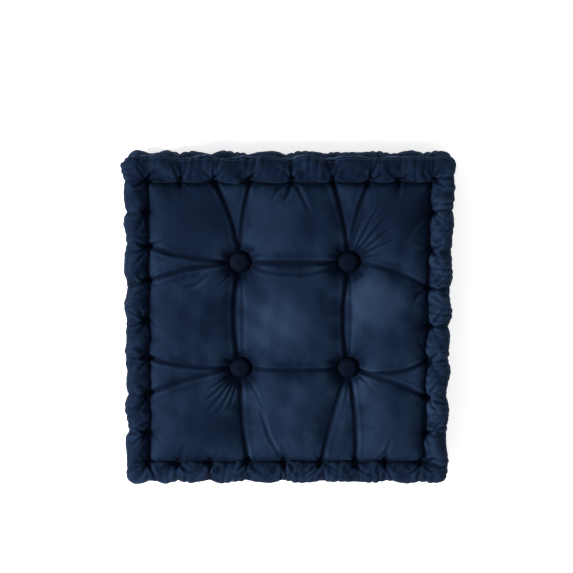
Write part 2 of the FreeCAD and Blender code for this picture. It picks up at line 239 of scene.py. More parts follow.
def grid():
    """The half cover as flat arrays: faces, and each vertex's ring and direction (u, v)."""
    size = 2 * SEAM_RING + 1
    steps = np.arange(size) - SEAM_RING
    across, along = np.meshgrid(steps, steps, indexing="ij")
    ring = np.maximum(np.abs(across), np.abs(along)).ravel()
    u, v = across.ravel() / np.maximum(ring, 1), along.ravel() / np.maximum(ring, 1)
    number = np.arange(size * size).reshape(size, size)
    around = [number[:-1, :-1], number[1:, :-1], number[1:, 1:], number[:-1, 1:]]
    faces = [np.stack(around, -1).reshape(-1, 4)]
    rim = np.concatenate([number[:-1, 0], number[-1, :-1], number[:0:-1, -1], number[0, :0:-1]])
    more = LAST_RING - SEAM_RING
    belts = np.vstack([rim, size * size + np.arange(more * len(rim)).reshape(more, -1)])
    before, after = belts[:-1], belts[1:]
    faces.append(np.stack([before, after, np.roll(after, -1, 1), np.roll(before, -1, 1)], -1).reshape(-1, 4))
    ring = np.concatenate([ring, np.repeat(np.arange(SEAM_RING + 1, LAST_RING + 1), len(rim))])
    u, v = (np.concatenate([way, np.tile(way[rim], more)]) for way in (u, v))
    return np.vstack(faces), ring, u, v


# ---- ties, creases and pits
def side_masks(a, b):
    """Which points or directions (a, b) belong to each side. The diagonals are the right's and the left's."""
    return {"right": a >= np.abs(b), "left": -a >= np.abs(b), "back": b > np.abs(a), "front": -b > np.abs(a)}


def along_side(u, v, values):
    """Picks each vertex's own side: values[side] is an array over all vertices."""
    own = side_masks(u, v)
    return np.select([own[side] for side in SIDES], [values[side] for side in SIDES])


def tie_pull(places, u, v, spread):
    """1 at a tie of the vertex's own side, falling to 0 between the ties."""
    pulls = {}
    for side in SIDES:
        run = places[:, 1] if side in ("right", "left") else places[:, 0]
        gaps = np.min([np.abs(run - t * MM) for t in TIES[side]], axis=0)
        pulls[side] = np.exp(-((gaps / spread) ** 2) / 2)
    return along_side(u, v, pulls)


def crease_line(start, end, bow, steps=24):
    """Points of a crease in the plane: a curve that bows to the left of its way."""
    a = np.array(TUFTS[start])
    b = np.array(TUFTS[end] if isinstance(end, str) else tie_point(*end))
    way = b - a
    left = np.array([-way[1], way[0]]) / np.linalg.norm(way)
    t = np.linspace(0, 1, steps)[:, None]
    middle = (a + b) / 2 + left * bow * MM * 2
    return (1 - t) ** 2 * a + 2 * t * (1 - t) * middle + t**2 * b


def distance_to(line, x, y):
    """Distance of each point of the plane from a polyline, with its side's sign, and how far along it is."""
    best = np.full(x.shape, 1e9)
    where, sign = np.zeros(x.shape), np.ones(x.shape)
    count = len(line) - 1
    for i in range(count):
        (x0, y0), (x1, y1) = line[i], line[i + 1]
        dx, dy = x1 - x0, y1 - y0
        t = np.clip(((x - x0) * dx + (y - y0) * dy) / (dx * dx + dy * dy), 0, 1)
        d = np.hypot(x - x0 - t * dx, y - y0 - t * dy)
        closer = d < best
        best = np.where(closer, d, best)
        where = np.where(closer, (i + t) / count, where)
        sign = np.where(closer, np.sign(dx * (y - y0) - dy * (x - x0)), sign)
    return best, where, sign


def tuft_distance(x, y):
    """Distance of each point of the plane from the nearest tuft."""
    return np.min([np.hypot(x - a, y - b) for a, b in TUFTS.values()], axis=0)


def start_shape(ring, u, v):
    """The half cover before it is blown up, and how firmly each vertex is held."""
    section = cross_section()
    half, rise = section[ring, 0], section[ring, 1]
    corner = np.interp(ring, [PANEL_RINGS, SEAM_RING, LAST_RING], [4 * MM, 11 * MM, 9 * MM])
    x, y = rounded(u, v, half, np.where(ring < PANEL_RINGS - 6, 0, corner))
    places = np.column_stack([x, y, rise])
    pull = tie_pull(places, u, v, 6 * MM)

    # the groove dips at each tie and swings inward between them
    groove = bell((ring - PANEL_RINGS) / 2.5)
    shift = -groove * (1 - pull) * 1.6 * MM
    # the rolls end in ears at the corners, the largest at the back left
    ear = bell((np.abs(u * v) ** 0.5 - 0.97) / 0.05)
    ear *= np.interp(ring, [PANEL_RINGS, PANEL_RINGS + 6, SEAM_RING + 2, TUCK_RING - 1], [0, 1, 1, 0])
    shift += ear * np.where((u < 0) & (v > 0), 2.6, 0.8) * MM
    # the rolls are drawn in at the ties
    round_roll = np.sin(np.pi * (ring - PANEL_RINGS) / (TUCK_RING - PANEL_RINGS))
    roll_out = np.where((ring > PANEL_RINGS) & (ring <= TUCK_RING), round_roll, 0)
    shift -= roll_out * pull * 1.3 * MM
    places[:, 0] += np.where(np.abs(u) >= np.abs(v), np.sign(u) * shift, 0)
    places[:, 1] += np.where(np.abs(v) >= np.abs(u), np.sign(v) * shift, 0)
    places[:, 2] += groove * (0.8 * (1 - pull) - 3.0 * pull) * MM - roll_out * pull * 0.6 * MM

    # valleys along the creases, and the pits of the tufts
    on_panel = ring < PANEL_RINGS
    x, y = places[:, 0], places[:, 1]
    valley, lines = np.zeros(len(x)), np.zeros(len(x), bool)
    for start, end, bow, deep, _ in DIVIDERS:
        d, _, _ = distance_to(crease_line(start, end, bow), x, y)
        valley = np.maximum(valley, (1.2 + deep) * MM * np.exp(-d / (7 * MM)))
        lines |= d < 1.45 * MM
    from_tuft = tuft_distance(x, y)
    wall = np.clip(from_tuft - 13 * MM, 0, None)
    pit = 0.35 * np.exp(-wall / (3 * MM)) + 0.65 / (1 + (wall / (10 * MM)) ** 2)
    z = places[:, 2] - valley
    places[:, 2] = np.where(on_panel, z - (z - PIT_Z) * pit, places[:, 2])

    held = (ring == PANEL_RINGS) | (ring == TUCK_RING) | (ring == LAST_RING)
    held |= on_panel & (lines | (from_tuft < PIT_RADIUS))
    return places, held


# ---- simulation
def edges_of(faces):
    """Every edge of the faces once, as a pair of vertices."""
    pairs = np.sort(np.vstack([faces[:, [i, (i + 1) % 4]] for i in range(4)]), axis=1)
    return np.unique(pairs, axis=0)


def smoothed(values, edges, times):
    """Rows of values, one for each vertex, averaged with their neighbours' that many times."""
    count = len(values)
    a, b = edges.T
    degree = np.bincount(a, minlength=count) + np.bincount(b, minlength=count)
    for _ in range(times):
        total = np.column_stack([
            np.bincount(a, column[b], count) + np.bincount(b, column[a], count) for column in values.T
        ])
        values = (values + total / degree[:, None]) / 2
    return values


def linked(name, data):
    """A new object in the scene."""
    made = bpy.data.objects.new(name, data)
    scene.collection.objects.link(made)
    return made


def new_object(name, places, faces):
    mesh = bpy.data.meshes.new(name)
    mesh.from_pydata(places.tolist(), [], [list(map(int, f)) for f in faces])
    mesh.update()
    return linked(name, mesh)


def evaluated(made):
    """The object as its modifiers leave it."""
    return made.evaluated_get(bpy.context.evaluated_depsgraph_get())


def fetched(items, name, columns=1, kind=float):
    """One property of all the items, as rows."""
    values = np.zeros(len(items) * columns, kind)
    items.foreach_get(name, values)
    return values.reshape(-1, columns)


def set_values(mesh, name, values):
    """Gives a mesh a value at each vertex."""
    mesh.attributes.new(name, "FLOAT", "POINT").data.foreach_set("value", values.astype(np.float32))


SIMULATED_FRAMES = 24
MOST_SHIFT = 12 * MM
CLOTH = {
    "quality": 6, "mass": 0.05, "air_damping": 2,
    "tension_stiffness": 3, "compression_stiffness": 3, "shear_stiffness": 1, "bending_stiffness": 0.04,
    "tension_damping": 2, "compression_damping": 2, "shear_damping": 2, "bending_damping": 0.3,
    "use_pressure": True, "uniform_pressure_force": 4,
    "vertex_group_shrink": "loose", "shrink_min": -0.02, "shrink_max": -0.08, "vertex_group_mass": "held",
}


def blow_up(places, faces, held, loose):
    """Blows the half cover up with cloth simulation, from the vertices held. loose gives more cloth where it is 1."""
    rim = np.flatnonzero(held == 2)
    lid = np.stack([rim, np.full(len(rim), len(places)), np.roll(rim, -1)], -1)
    closed = np.vstack([places, [0, 0, MIDDLE_Z]])
    cover = new_object("cover_sim", closed, [*faces, *lid])
    pins = cover.vertex_groups.new(name="held")
    pins.add([int(i) for i in np.flatnonzero(held)] + [len(places)], 1.0, "REPLACE")
    spare = cover.vertex_groups.new(name="loose")
    for index in np.flatnonzero(loose > 0):
        spare.add([int(index)], float(loose[index]), "REPLACE")
    cloth = cover.modifiers.new("cloth", "CLOTH")
    cloth.collision_settings.use_collision = False
    for name, value in CLOTH.items():
        setattr(cloth.settings, name, value)
    cloth.settings.effector_weights.gravity = 0
    cloth.point_cache.frame_start = 1
    cloth.point_cache.frame_end = SIMULATED_FRAMES
    for number in range(1, SIMULATED_FRAMES + 1):
        scene.frame_set(number)
    moved = fetched(evaluated(cover).data.vertices, "co", 3)[:-1]
    bpy.data.objects.remove(cover)
    scene.frame_set(1)
    shift = moved - places
    far = np.linalg.norm(shift, axis=1, keepdims=True)
    return places + shift * np.minimum(1, MOST_SHIFT / np.maximum(far, 1e-9))


def simulated(ring, u, v, faces):
    """The half cover blown up, then smoothed on the panel, with the drawn-in corners under the rolls eased."""
    places, held = start_shape(ring, u, v)
    held = held.astype(int)
    held[ring == LAST_RING] = 2
    loose = np.clip((ring - PANEL_RINGS) / 3, 0, 1) * (ring < TUCK_RING)
    blown = blow_up(places, faces, held, loose)
    edges = edges_of(faces)
    settled = smoothed(blown, edges, 4)
    # the drawn-in corners under the rolls crumple, so they are eased
    corner = np.clip(1.3 - np.abs(np.abs(u) - np.abs(v)) / 0.09, 0, 1)
    corner *= np.interp(ring, [SEAM_RING + 1, SEAM_RING + 3, LAST_RING - 1, LAST_RING], [0, 1, 1, 0])
    eased = blown + (smoothed(blown, edges, 12) - blown) * corner[:, None]
    return np.where((ring < PANEL_RINGS - 1)[:, None], settled, eased)


# ---- fine folds, on the finer mesh
def wander(run, length, seed):
    """A smooth uneven wave along run, between about -1 and 1, of about that wavelength."""
    rng = np.random.default_rng(seed)
    total = np.zeros(run.shape)
    for _ in range(4):
        total += np.sin(2 * math.pi * (run / (length * rng.uniform(0.65, 1.5)) + rng.random()))
    return total / 2.4


def refine(places, faces, ring, u, v):
    """One subdivision of the half cover, which carries each vertex's ring and direction along."""
    made = new_object("cover_fine", places, faces)
    carried = {"ring": ring, "u": u, "v": v}
    for name, values in carried.items():
        set_values(made.data, name, values)
    made.modifiers.new("finer", "SUBSURF").levels = 1
    finer = bpy.data.meshes.new_from_object(evaluated(made))
    bpy.data.objects.remove(made)
    fine_faces = fetched(finer.loops, "vertex_index", 1, int).reshape(-1, 4)
    values = [fetched(finer.attributes[name].data, "value")[:, 0] for name in carried]
    return fetched(finer.vertices, "co", 3), fine_faces, *values


def normals_of(places, faces):
    """Vertex normals, weighted by face area."""
    a, b, c, d = (places[faces[:, i]] for i in range(4))
    across = np.cross(c - a, d - b)
    total = np.zeros_like(places)
    for i in range(4):
        np.add.at(total, faces[:, i], across)
    return total / np.maximum(np.linalg.norm(total, axis=1, keepdims=True), 1e-12)


def fold_profile(d, sign, deep, wide):
    """A sharp fold: a narrow groove with a soft lip beside it, higher on one side."""
    groove = np.exp(-np.hypot(d, 0.4 * MM) / wide)
    lip = bell((d - 2.4 * wide) / (1.5 * wide))
    return deep * (-groove + (0.20 + 0.10 * sign) * lip)


def press_fold(raised, places, line, deep, wide, fade):
    """Presses one fold into the heights, near its own line only. fade gives its depth along its way."""
    near = 9 * wide * MM
    x, y = places[:, 0], places[:, 1]
    low, high = line.min(0) - near, line.max(0) + near
    chosen = np.flatnonzero((x > low[0]) & (x < high[0]) & (y > low[1]) & (y < high[1]))
    d, t, sign = distance_to(line, x[chosen], y[chosen])
    raised[chosen] += fold_profile(d, sign, deep * MM, wide * MM) * fade(t)


def short_fold(start, degrees, begin, length, hook=2.5):
    """The line of a short fold from a point, bent a little like a hook, lengths in mm."""
    angle = math.radians(degrees)
    way = np.array([math.cos(angle), math.sin(angle)])
    share = np.linspace(0, 1, 8)[:, None]
    side = np.array([-way[1], way[0]]) * np.sin(2.6 * share) * hook
    return np.asarray(start) + (way * (begin + share * (length - begin)) + side) * MM


def crumple(run, length, seed):
    """Gathers in cloth: soft ridges with sharp valleys between them, from 0 to about 1."""
    return np.abs(wander(run, length, seed)) ** 0.7


def along_crease(t):
    """A crease's depth along its way: a little less in the middle."""
    return np.clip(t / 0.06, 0, 1) * (0.8 + 0.2 * np.cos(2 * math.pi * t))


def along_loose_fold(t):
    return np.clip(np.sin(math.pi * np.clip(t, 0.02, 1) ** 0.8), 0, 1)


def tie_folds(raised, places, rng, count, turn, spread, reach, deep, wide, fade):
    """Presses short folds that fan out from every tie, within the spread either side of inward plus the turn."""
    for side in SIDES:
        for index in range(len(TIES[side])):
            for _ in range(count):
                degrees = INWARD[side] + turn + rng.uniform(-spread, spread)
                line = short_fold(tie_point(side, index), degrees, 1, rng.uniform(*reach), rng.uniform(-3, 3))
                press_fold(raised, places, line, rng.uniform(*deep), wide, fade)


def add_folds(places, faces, ring, u, v):
    """Presses the creases, the tie folds, the gathers and the seam into the cover."""
    x, y = places[:, 0], places[:, 1]
    rng = np.random.default_rng(21)
    raised = np.zeros(len(x))
    for start, end, bow, deep, wide in CREASES:
        press_fold(raised, places, crease_line(start, end, bow), 1.25 * deep, wide, along_crease)
    for tuft, folds in FANS.items():
        for degrees, length, deep in folds:
            line = short_fold(TUFTS[tuft], degrees, 10, length)
            press_fold(raised, places, line, 1.2 * deep, 1.25, lambda t: np.clip(np.sin(math.pi * np.sqrt(t)), 0, 1))
    for points, deep in LOOSE_FOLDS:
        press_fold(raised, places, resample(np.array(points) * MM, 10), 1.2 * deep, 1.8, along_loose_fold)
    tie_folds(raised, places, rng, 3, 0, 48, (12, 30), (0.7, 1.6), 1.7, lambda t: np.clip(1.1 - t, 0, 1) ** 1.3)
    raised *= np.clip((tuft_distance(x, y) - 12 * MM) / (6 * MM), 0, 1)

    # pleats round each button
    for number, (cx, cy) in enumerate(TUFTS.values()):
        d = np.hypot(x - cx, y - cy)
        angle = np.arctan2(y - cy, x - cx)
        pleats = crumple(angle, 2 * math.pi / 7, 40 + number) * np.abs(np.sin(angle / 2 + 0.8)) ** 0.3
        raised += 1.5 * MM * (pleats - 0.6) * bell((d - 18 * MM) / (6 * MM)) * (d > PIT_RADIUS)
    raised *= np.clip((PANEL_RINGS - ring) / 2, 0, 1)
    on_rolls = np.zeros(len(x))
    tie_folds(on_rolls, places, rng, 5, 180, 62, (10, 26), (1.2, 3.0), 1.4, lambda t: np.clip(1.15 - t, 0, 1))
    raised += on_rolls * np.clip((ring - PANEL_RINGS) / 2, 0, 1) * (ring < SEAM_RING + 1)

    # the pinched groove, folds over the rolls at the ties, and gathers from the groove and the seam
    run = along_side(u, v, {"right": y, "left": y, "back": x, "front": x})
    side = along_side(u, v, {name: np.full(len(x), float(i)) for i, name in enumerate(SIDES)})
    groove = (ring - PANEL_RINGS) * 3.0 * MM
    seam = (ring - SEAM_RING) * 2.8 * MM
    at_tie = tie_pull(places, u, v, 4.5 * MM)
    raised -= (1.3 + 1.3 * at_tie) * MM * np.exp(-np.hypot(groove, 0.6 * MM) / ((1.6 + 1.8 * at_tie) * MM))
    pull = np.zeros(len(x))
    for i, name in enumerate(SIDES):
        for tie in TIES[name]:
            slant = rng.uniform(-3, 3) * groove / 10
            hold = rng.uniform(0.35, 1.0)
            gap = np.hypot(run - tie * MM - slant, 0.5 * MM)
            rings = [PANEL_RINGS - 4, PANEL_RINGS, SEAM_RING - 4, TUCK_RING, TUCK_RING + 2]
            strength = np.interp(ring, rings, [0, 1.0, hold, 0.8 * hold, 0])
            pull = np.maximum(pull, (side == i) * strength * np.exp(-gap / (2.0 * MM)))
    raised -= 2.0 * MM * pull
    on_roll = (ring > PANEL_RINGS) & (ring < TUCK_RING + 1)
    # gathers die out at the corners, where two sides' runs meet
    width, length = np.abs(x), np.abs(y)
    off_corner = np.clip((1 - np.minimum(width, length) / np.maximum(width, length)) / 0.06, 0, 1)
    for i in range(4):
        mine = (side == i) & on_roll
        warped = run[mine] + 1.2 * MM * wander(ring[mine], 16, 90 + i)
        patch = np.clip(0.55 + 0.6 * wander(run[mine], 70 * MM, 60 + i), 0.1, 1.2) * off_corner[mine]
        patch *= np.interp(ring[mine], [TUCK_RING - 3, TUCK_RING + 1], [1, 0])
        from_groove = np.exp(-groove[mine] / (13 * MM))
        from_seam = np.where(seam[mine] < 0, np.exp(seam[mine] / (12 * MM)), np.exp(-seam[mine] / (16 * MM)))
        raised[mine] += 1.8 * MM * (crumple(warped, 25 * MM, 70 + i) - 0.6) * from_groove * patch
        raised[mine] += 2.4 * MM * (crumple(warped, 18 * MM, 80 + i) - 0.6) * from_seam * patch
        raised[mine] += 1.5 * MM * wander(run[mine] + 0.8 * groove[mine], 42 * MM, 100 + i) * off_corner[mine]
    raised += MM * (-1.1 * bell(seam / (0.9 * MM)) + 0.6 * bell((np.abs(seam) - 2.4 * MM) / (1.3 * MM)))
    raised += 0.6 * MM * wander(x + 0.4 * y, 47 * MM, 5) * wander(y - 0.3 * x, 52 * MM, 6) * (ring < PANEL_RINGS)
    moved = places + normals_of(places, faces) * raised[:, None]

    # the panel stays clear of the buttons that sink into it
    for cx, cy in TUFTS.values():
        d = np.hypot(moved[:, 0] - cx, moved[:, 1] - cy)
        top = PIT_Z + np.clip(d - (BUTTON_RADIUS + 0.4 * MM), 0, None) * 3.2
        close = (d < 26 * MM) & (moved[:, 2] > top)
        moved[close, 2] = top[close]
    return moved


def painted_shading_of(places, faces, ring):
    """Painted shade and light on the pile: below 0 where shade is painted dark into folds, pits and ties, above 0
    where highlights are painted light on ridges and in patches.
    """
    edges = edges_of(faces)
    normals = normals_of(places, faces)
    fine = smoothed(places, edges, 6)
    broad = smoothed(fine, edges, 150)
    small = np.einsum("ij,ij->i", places - fine, normals) / (0.30 * MM)
    large = np.einsum("ij,ij->i", fine - broad, normals) / (1.5 * MM)
    # patches of painted highlight and painted shade on the panel
    painted_spots = np.zeros(len(places))
    for spot_x, spot_y, radius, amount in PAINTED_PATCHES:
        d = np.hypot(places[:, 0] - spot_x * MM, places[:, 1] - spot_y * MM) / (radius * MM)
        painted_spots += amount * bell(d)
    x, y = places[:, 0], places[:, 1]
    own = side_masks(x, y)
    # painted light and shade on the rolls, set side by side
    for side, (on_roll, on_flank) in ROLL_PAINTED_SHADING.items():
        rolled = np.interp(ring, [SEAM_RING, SEAM_RING + 1.5], [on_roll, on_flank])
        painted_spots = np.where((ring >= PANEL_RINGS) & own[side], rolled, painted_spots)
        # painted shade in the dimple round each tie
        for index in range(len(TIES[side])):
            tie_x, tie_y = tie_point(side, index)
            painted_spots -= 0.9 * bell(np.hypot(x - tie_x, y - tie_y) / (7 * MM)) * (ring < SEAM_RING)
    painted_spots = np.where(ring < PANEL_RINGS - 3, painted_spots, smoothed(painted_spots[:, None], edges, 25)[:, 0])
    # painted shade in the pit round each button, lighter round the front right one
    from_button = np.clip(tuft_distance(x, y) - BUTTON_RADIUS, 0, None)
    painted_spots -= np.where((x > 0) & (y < 0), 1.0, 1.6) * bell(from_button / (9 * MM))
    # painted shade in the folds' valleys and painted highlights on their ridges, read from the cover's own curvature,
    # stronger on the rolls
    sharp = np.interp(ring, [PANEL_RINGS, PANEL_RINGS + 2], [0.5, 0.95])
    painted_fold_shade = sharp * np.clip(small, -1, 0.9) + 0.55 * np.clip(large, -1.8, 0.6)
    return painted_fold_shade * np.interp(ring, [SEAM_RING, TUCK_RING], [1, 0.45]) + 0.7 * painted_spots


# ---- the cover's pieces
def lean(places):
    """The real cushion is a little out of square, and longer from front to back than across."""
    x, y = places[:, 0], places[:, 1]
    skew = np.clip((np.maximum(np.abs(x), np.abs(y)) - 70 * MM) / (110 * MM), 0, 1) * y / HALF_SIDE * 1.8 * MM
    stations = [-HALF_SIDE, -GROOVE_X, -75 * MM, 85 * MM, GROOVE_X, HALF_SIDE]
    along = np.interp(y, stations, [-5.5 * MM, -6.5 * MM, 0, 0, 1.5 * MM, 4 * MM])
    return np.column_stack([x + skew, y + along, places[:, 2]])


def turned_over(places):
    """The lower half: the upper one turned over about the X axis and pressed flat on the floor."""
    turned = places * [1, -1, -1] + [0, 0, HEIGHT]
    floor_gap, softness = 0.4 * MM, 1.2 * MM
    above = (turned[:, 2] - floor_gap) / softness
    turned[:, 2] = floor_gap + softness * np.where(above > 20, above, np.log1p(np.exp(np.minimum(above, 20))))
    return turned


def halves(places):
    """A half cover's places for the upper half, and for the lower one."""
    return {"top": lean(places), "bottom": lean(turned_over(places))}


def part_of(cloth, level, side):
    """What a level's cloth adds to the panel (side None) or to one side's boxing: places, faces and painted shading.
    """
    places, faces, ring, u, v, painted_shading = cloth
    middle_ring = ring[faces].mean(1)
    if side is None:
        kept = faces[middle_ring < SEAM_RING]
    else:
        kept = faces[side_masks(u[faces].mean(1), v[faces].mean(1))[side] & (middle_ring > SEAM_RING)]
    used, inverse = np.unique(kept, return_inverse=True)
    return places[level][used], inverse.reshape(kept.shape), painted_shading[used]


def add_all(bm, places, faces, painted_shading, flip=False):
    """Adds faces to a mesh, with the painted shading at their vertices."""
    layer = bm.verts.layers.float.get("painted_shading") or bm.verts.layers.float.new("painted_shading")
    made = [bm.verts.new(p) for p in places]
    for vertex, value in zip(made, painted_shading):
        vertex[layer] = value
    for face in faces:
        corners = [made[i] for i in face]
        bm.faces.new(corners[::-1] if flip else corners)


def open_edge(bm, known=()):
    """The vertices round the open edge of a mesh in order, apart from an edge that is already known."""
    first = next(e for e in bm.edges if e.is_boundary and e.verts[0] not in known)
    loop = list(first.verts)
    while True:
        ends = [e.other_vert(loop[-1]) for e in loop[-1].link_edges if e.is_boundary]
        ahead = ends[0] if ends[0] != loop[-2] else ends[1]
        if ahead == loop[0]:
            return loop
        loop.append(ahead)


def zip_together(bm, outer, inner):
    """Joins two loops of vertices that run side by side, by the shorter diagonal at each step."""
    nearest = min(range(len(inner)), key=lambda i: (inner[i].co - outer[0].co).length)
    inner = inner[nearest:] + inner[:nearest]
    ahead, eighth = outer[len(outer) // 8].co, len(inner) // 8
    if (inner[eighth].co - ahead).length > (inner[-eighth].co - ahead).length:
        inner = [inner[0], *inner[:0:-1]]
    outer, inner = [*outer, outer[0]], [*inner, inner[0]]
    i = j = 0
    while i < len(outer) - 1 or j < len(inner) - 1:
        a, b = outer[i], inner[j]
        outer_ends, inner_ends = i == len(outer) - 1, j == len(inner) - 1
        if inner_ends or not outer_ends and (outer[i + 1].co - b.co).length <= (inner[j + 1].co - a.co).length:
            i += 1
            bm.faces.new((a, outer[i], b))
        else:
            j += 1
            bm.faces.new((a, inner[j], b))


def lined_piece(name, parts, body, node):
    """A piece of the cover as a closed shell: fine cloth outside, a coarser lining inside, joined round the edge."""
    bm = bmesh.new()
    for part in parts:
        add_all(bm, *part_of(OUTSIDE, *part))
    bmesh.ops.remove_doubles(bm, verts=bm.verts, dist=0.05 * MM)
    outer_edge = open_edge(bm)
    for part in parts:
        add_all(bm, *part_of(LINING, *part), flip=True)
    known = set(outer_edge)
    fresh = [v for v in bm.verts if v.is_boundary and v not in known]
    bmesh.ops.remove_doubles(bm, verts=fresh, dist=0.05 * MM)
    zip_together(bm, outer_edge, open_edge(bm, known))
    bmesh.ops.recalc_face_normals(bm, faces=bm.faces)
    mesh = bpy.data.meshes.new(name)
    bm.to_mesh(mesh)
    bm.free()
    return finished(linked(name, mesh), velvet, body, node)


def finished(made, material, body, node):
    """Gives a new piece its material and slot, and puts it on its body in place of its CAD node."""
    made.data.shade_smooth()
    made.data.materials.clear()
    made.data.materials.append(material)
    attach(made, body)
    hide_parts(node)
    return made


# ---- materials
class Material:
    """A new material, with short ways to add to its nodes."""

    def __init__(self, name):
        self.made = bpy.data.materials.new(name)
        self.made.use_nodes = True
        self.shader = self.made.node_tree.nodes["Principled BSDF"]

    def fill(self, node, inputs):
        """Sets each of a node's inputs to a value, or links it to a socket."""
        for name, value in inputs.items():
            if isinstance(value, bpy.types.NodeSocket):
                self.made.node_tree.links.new(value, node.inputs[name])
            else:
                node.inputs[name].default_value = value

    def add(self, kind, inputs, out):
        """Adds a node and gives back one of its outputs."""
        node = self.made.node_tree.nodes.new("ShaderNode" + kind)
        self.fill(node, inputs)
        return node.outputs[out]

    def noise(self, scale, detail=3.0, rough=0.5, stretch=None):
        """Noise in the row frame, with features of about 1/scale metres."""
        place = self.add("TexCoord", {}, "Object")
        if stretch:
            place = self.add("Mapping", {"Vector": place, "Scale": stretch}, "Vector")
        return self.add("TexNoise", {"Vector": place, "Scale": scale, "Detail": detail, "Roughness": rough}, "Fac")

    def sum_of(self, value, share, more):
        """A socket times its share, plus another socket or a number."""
        out = self.add("Math", {0: value, 1: share, 2: more}, 0)
        out.node.operation = "MULTIPLY_ADD"
        return out

    def ramp(self, value, stops):
        color = self.add("ValToRGB", {"Fac": value}, "Color")
        elements = color.node.color_ramp.elements
        while len(elements) < len(stops):
            elements.new(0.5)
        for element, (position, shade) in zip(elements, stops):
            element.position = position
            element.color = (*shade, 1)
        return color

    def bump(self, height, depth, strength=1.0):
        return self.add("Bump", {"Height": height, "Distance": depth, "Strength": strength}, "Normal")


def make_velvet(name, shades, sheen):
    """Velvet: a dark pile with random patches and brush marks of tone, darker where shade is painted into folds and
    pits, lighter where highlights are painted, with a soft sheen.
    shades are its colours from the darkest painted shade to the lightest painted highlight. The painted shade and
    highlights come from an attribute at the cover's vertices."""
    made = Material(name)
    patches = made.noise(16, 5, 0.55)
    brushed = made.noise(70, 3, 0.6, (1, 0.45, 1))
    pile = made.noise(900, 2, 0.7)
    shares = ((patches, 0.30), (brushed, 0.25), (pile, 0.20))
    # the painted shade and highlights at the vertices
    painted_shading_value = made.add("Attribute", {}, "Fac")
    painted_shading_value.node.attribute_name = "painted_shading"
    total = made.sum_of(painted_shading_value, 0.30, 0.5 - sum(share for _, share in shares) / 2)
    for value, share in shares:
        total = made.sum_of(value, share, total)
    fine_bump = made.bump(pile, 0.5 * MM, 0.6)
    made.fill(fine_bump.node, {"Normal": made.bump(brushed, 1.2 * MM, 0.5)})
    made.fill(made.shader, {
        "Base Color": made.ramp(total, list(zip((0.10, 0.32, 0.50, 0.68, 0.90), shades))),
        "Roughness": made.sum_of(brushed, 0.25, 0.62),
        "Specular IOR Level": 0.04,
        "Sheen Weight": sheen,
        "Sheen Roughness": 0.38,
        "Sheen Tint": (0.14, 0.26, 0.52, 1),
        "Normal": fine_bump,
    })
    return made.made


def make_fibre(name, dark, light, scale):
    """Loose polyester fibre: tangled strands and clumps."""
    made = Material(name)
    clumps = made.sum_of(made.noise(scale / 9, 3, 0.5), 0.4, 0.0)
    both = made.sum_of(made.noise(scale, 8, 0.75, (1, 1, 3)), 0.6, clumps)
    made.fill(made.shader, {
        "Base Color": made.ramp(both, [(0.25, dark), (0.75, light)]),
        "Roughness": 0.95,
        "Specular IOR Level": 0.1,
        "Sheen Weight": 0.3,
        "Normal": made.bump(both, 2 * MM, 0.9),
    })
    return made.made


def make_thread(name, dark, light, pitch):
    """Twisted thread or twine: plies that wind round it, seen as slanting bands."""
    made = Material(name)
    place = made.add("TexCoord", {}, "Object")
    bands = made.add("TexWave", {"Vector": place, "Scale": 1 / pitch, "Distortion": 0.6, "Detail": 2}, "Fac")
    bands.node.bands_direction = "DIAGONAL"
    made.fill(made.shader, {
        "Base Color": made.ramp(bands, [(0.1, dark), (0.8, light)]),
        "Roughness": 0.75,
        "Specular IOR Level": 0.15,
        "Normal": made.bump(bands, 0.2 * MM),
    })
    return made.made


def make_metal(name, dark, light, rough, stretch):
    """Pressed sheet metal with fine drawing marks and a few dull patches."""
    made = Material(name)
    marks = made.noise(1500, 4, 0.6, stretch)
    patches = made.sum_of(made.noise(150, 3, 0.5), 0.6, 0.0)
    both = made.sum_of(marks, 0.4, patches)
    made.fill(made.shader, {
        "Base Color": made.ramp(both, [(0.3, dark), (0.7, light)]),
        "Metallic": 1.0,
        "Roughness": made.sum_of(both, 0.25, rough),
        "Normal": made.bump(marks, 0.04 * MM, 0.5),
    })
    return made.made


# the velvet's colours, from the painted shade in folds and pits, through its own tone, to painted highlights
NAVY = (
    (0.0010, 0.0034, 0.0110),
    (0.0018, 0.0055, 0.0165),
    (0.0027, 0.0076, 0.0212),
    (0.0066, 0.0152, 0.0358),
    (0.0152, 0.0295, 0.0600),
)
velvet = make_velvet("velvet_navy", NAVY, 0.12)
# the buttons' velvet is a darker copy of the cover's: painted shade for the buttons sunk in their pits
SHADED_BUTTON_NAVY = [(0.24 * r, 0.32 * g, 0.37 * b) for r, g, b in NAVY]
shaded_button_velvet = make_velvet("button_velvet_navy_painted_shade", SHADED_BUTTON_NAVY, 0.03)
batt_fibre = make_fibre("batt_fibre", (0.55, 0.54, 0.50), (0.86, 0.85, 0.82), 900)
roll_fibre = make_fibre("roll_fibre", (0.48, 0.47, 0.44), (0.80, 0.79, 0.76), 1300)
stitch_thread = make_thread("stitch_thread", (0.0016, 0.0040, 0.011), (0.0060, 0.0130, 0.030), 2.2 * MM)
tuft_twine = make_thread("tuft_twine", (0.38, 0.33, 0.25), (0.72, 0.66, 0.54), 1.6 * MM)
aluminium = make_metal("aluminium_cap", (0.56, 0.57, 0.58), (0.78, 0.79, 0.80), 0.28, (1, 1, 6))
steel = make_metal("steel_back", (0.42, 0.43, 0.45), (0.62, 0.63, 0.65), 0.34, (6, 1, 1))


# ---- smaller pieces
def unit(vectors):
    return vectors / np.linalg.norm(vectors, axis=1, keepdims=True)


